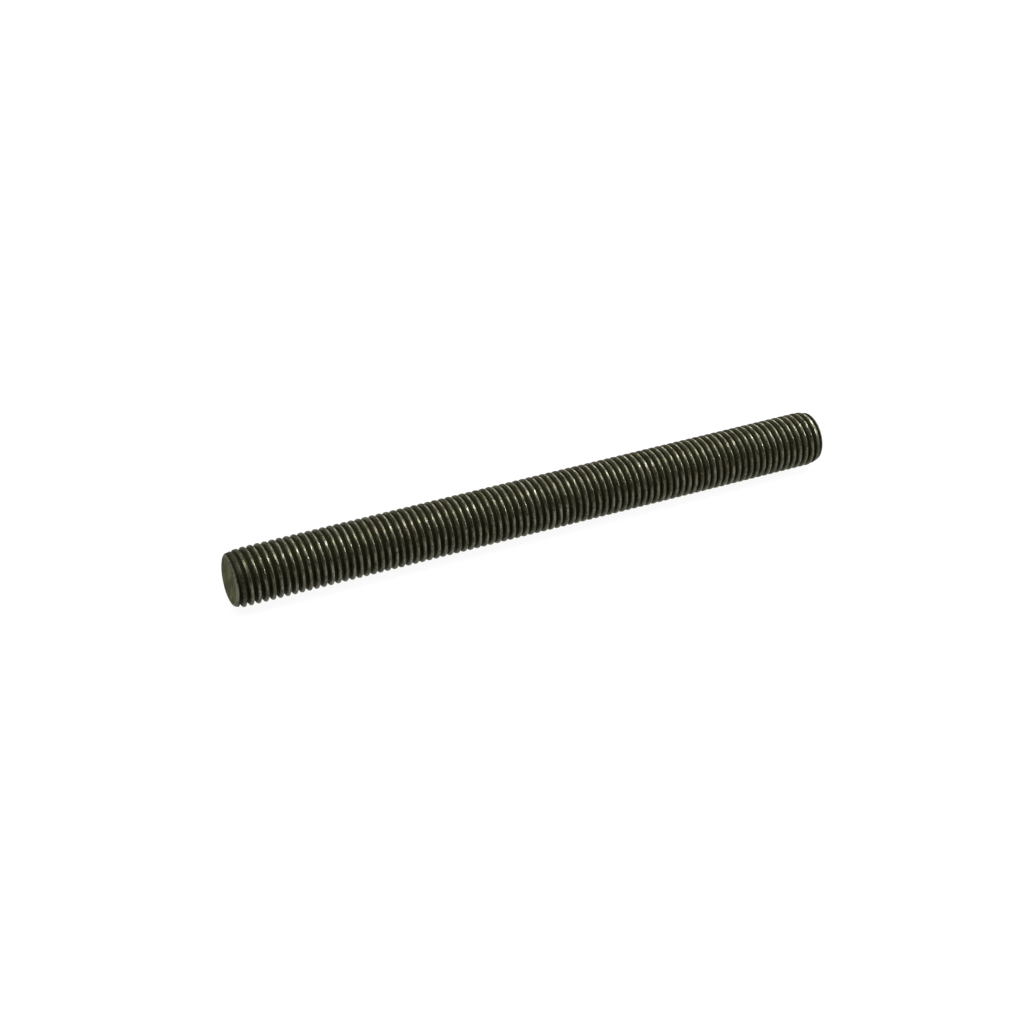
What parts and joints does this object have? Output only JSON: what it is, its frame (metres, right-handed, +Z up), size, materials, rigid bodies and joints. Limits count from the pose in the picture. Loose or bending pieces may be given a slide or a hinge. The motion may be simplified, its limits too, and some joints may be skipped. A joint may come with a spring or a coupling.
{
  "type": "threaded rod",
  "caption": "Straight steel rod with a right-hand metric thread along its whole length and a plain chamfered face at each end.",
  "frame": {"origin": "centre of the near end face, on the rod's axis", "axes": "+X along the rod's axis to the far end, +Z up, with the rod lying"},
  "size_m": [0.1763, 0.0154, 0.0154],
  "materials": {
    "rod_steel": "plain dark steel as rolled, lightly oiled, with bare worn crests and dull sawn ends"
  },
  "bodies": {
    "root": {"threaded_rod": "rod_steel"}
  },
  "joints": []
}
